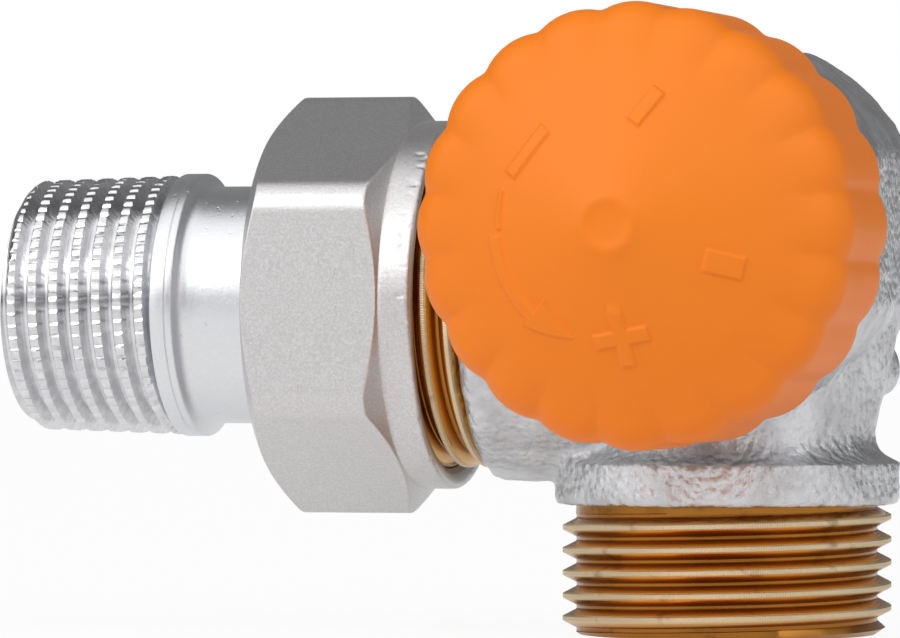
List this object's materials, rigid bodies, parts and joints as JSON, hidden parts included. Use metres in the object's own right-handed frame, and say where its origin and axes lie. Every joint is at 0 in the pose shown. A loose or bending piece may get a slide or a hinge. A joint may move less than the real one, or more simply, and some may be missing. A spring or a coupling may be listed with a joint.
{
  "type": "angled radiator valve",
  "caption": "Angled radiator valve: pipe port below, union nut and screwed radiator tail to the side, setting insert and lobed hand cap at the front.",
  "frame": {"origin": "centre of the lower pipe port's end face", "axes": "-Z out of the pipe port, -X out of the radiator union along the tail, -Y out along the insert and the cap"},
  "size_m": [0.0751, 0.0555, 0.0492],
  "materials": {
    "cast_nickel": "rough cast brass, nickel plated; its machined threads are bare brass",
    "turned_nickel": "turned and nickel plated brass",
    "brass": "turned brass",
    "steel": "stainless steel",
    "rubber": "black sealing rubber",
    "white_plastic": "moulded plastic",
    "orange_plastic": "moulded plastic, finely textured"
  },
  "bodies": {
    "fixed": {"valve_body": "cast_nickel", "insert_housing": "brass", "housing_seal": "rubber", "core_clip": "steel"},
    "setting_set": {"setting_core": "brass", "core_seal": "rubber", "setting_sleeve": "white_plastic", "setting_dial": "white_plastic", "gland_nut": "brass", "gland_nut_seal": "rubber", "gland_seal": "rubber", "return_spring": "steel"},
    "spindle_set": {"spindle": "steel", "spindle_clip": "steel", "spring_plate": "steel", "disc_carrier": "brass", "disc_seal": "rubber", "disc_nut": "brass"},
    "cap": {"hand_cap": "orange_plastic"},
    "tail_set": {"tailpiece": "turned_nickel", "tailpiece_seal": "rubber"},
    "nut": {"union_nut": "turned_nickel"}
  },
  "joints": [
    {"name": "setting_turn", "type": "hinge", "parent": "fixed", "child": "setting_set", "pos_m": [0, 0, 0.0322], "axis": [0, -1, 0], "range_deg": [0, 315]},
    {"name": "spindle_travel", "type": "slide", "parent": "fixed", "child": "spindle_set", "axis": [0, -1, 0], "range_m": [0, 0.00375], "deforming": ["return_spring"]},
    {"name": "cap_turn", "type": "hinge", "parent": "spindle_set", "child": "cap", "pos_m": [0, 0, 0.0322], "axis": [0, -1, 0], "range_deg": [0, 900]},
    {"name": "tail_travel", "type": "slide", "parent": "fixed", "child": "tail_set", "axis": [-1, 0, 0], "range_m": [0, 0.00817]},
    {"name": "nut_turn", "type": "hinge", "parent": "tail_set", "child": "nut", "pos_m": [0, 0, 0.0263], "axis": [-1, 0, 0], "range_deg": [0, 1620]}
  ],
  "couplings": [
    {"joint": "spindle_travel", "follows": "cap_turn", "m_per_rad": 0.00023873},
    {"joint": "tail_travel", "follows": "nut_turn", "m_per_rad": 0.0002887}
  ]
}
